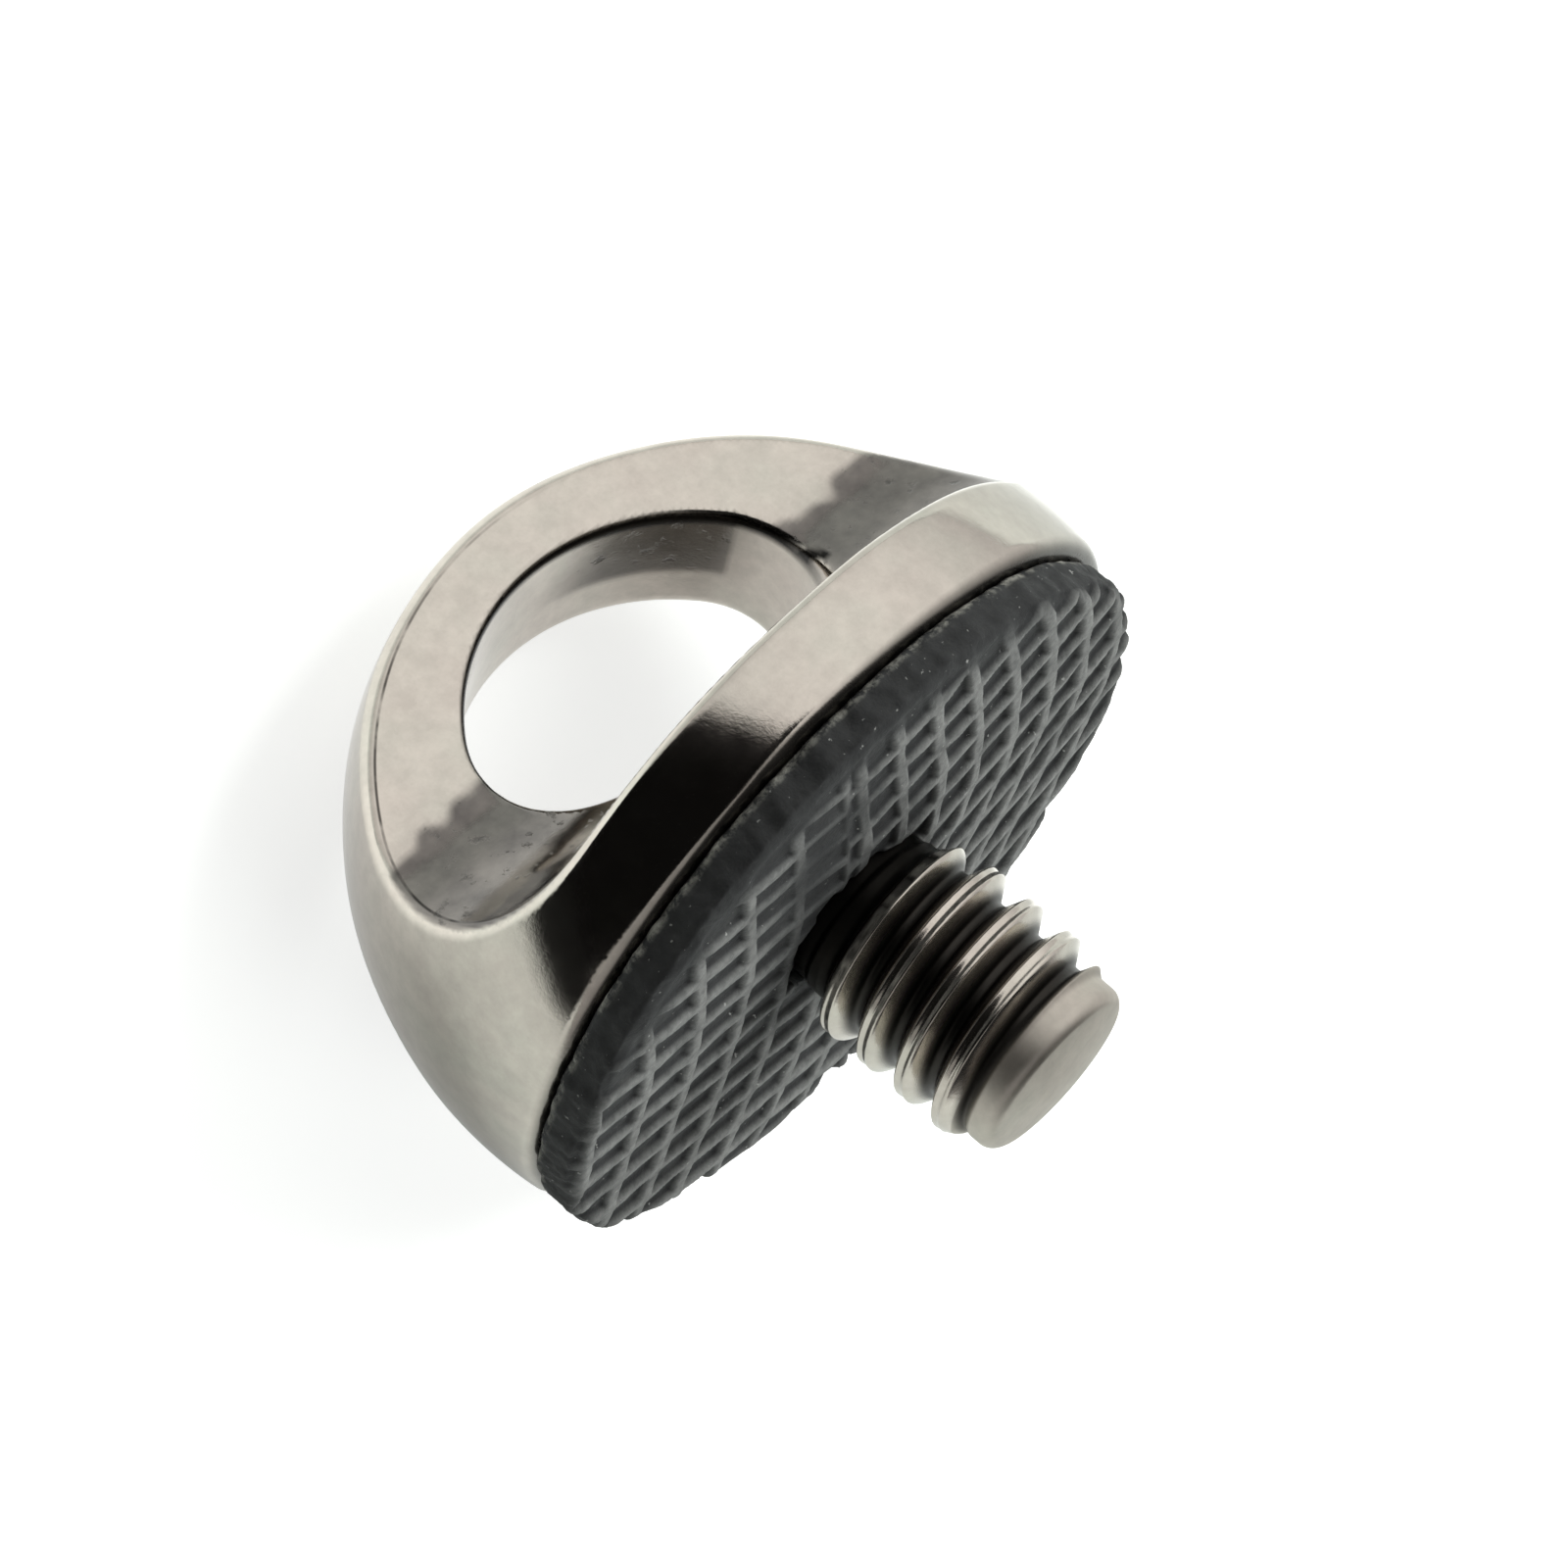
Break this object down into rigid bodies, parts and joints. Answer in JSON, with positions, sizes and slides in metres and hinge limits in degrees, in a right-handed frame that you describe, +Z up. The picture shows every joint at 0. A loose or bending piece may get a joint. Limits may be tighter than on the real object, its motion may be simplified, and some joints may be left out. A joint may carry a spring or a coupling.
{
  "type": "camera strap adapter screw",
  "caption": "Camera strap adapter screw: a polished cast eye with its own short threaded stud and a ribbed rubber grip washer, so a camera hangs from its tripod socket.",
  "frame": {"origin": "The middle of the stud's axis at the washer's outer face, where the camera's base meets the piece.", "axes": "Z is up with the piece at rest on a table. X runs along the table under the stud's axis, so the stud points to +X and up at 40.9 degrees. Y runs across the flat eye plate, along its width."},
  "size_m": [0.0188, 0.0218, 0.0187],
  "materials": {
    "plated_metal": "polished cast metal with dark nickel plating, small pits and worn edges",
    "rubber": "matte charcoal rubber with a lattice of raised grip ridges, worn and dusty"
  },
  "bodies": {
    "root": {"eyelet_body": "plated_metal", "grip_washer": "rubber"}
  },
  "joints": []
}
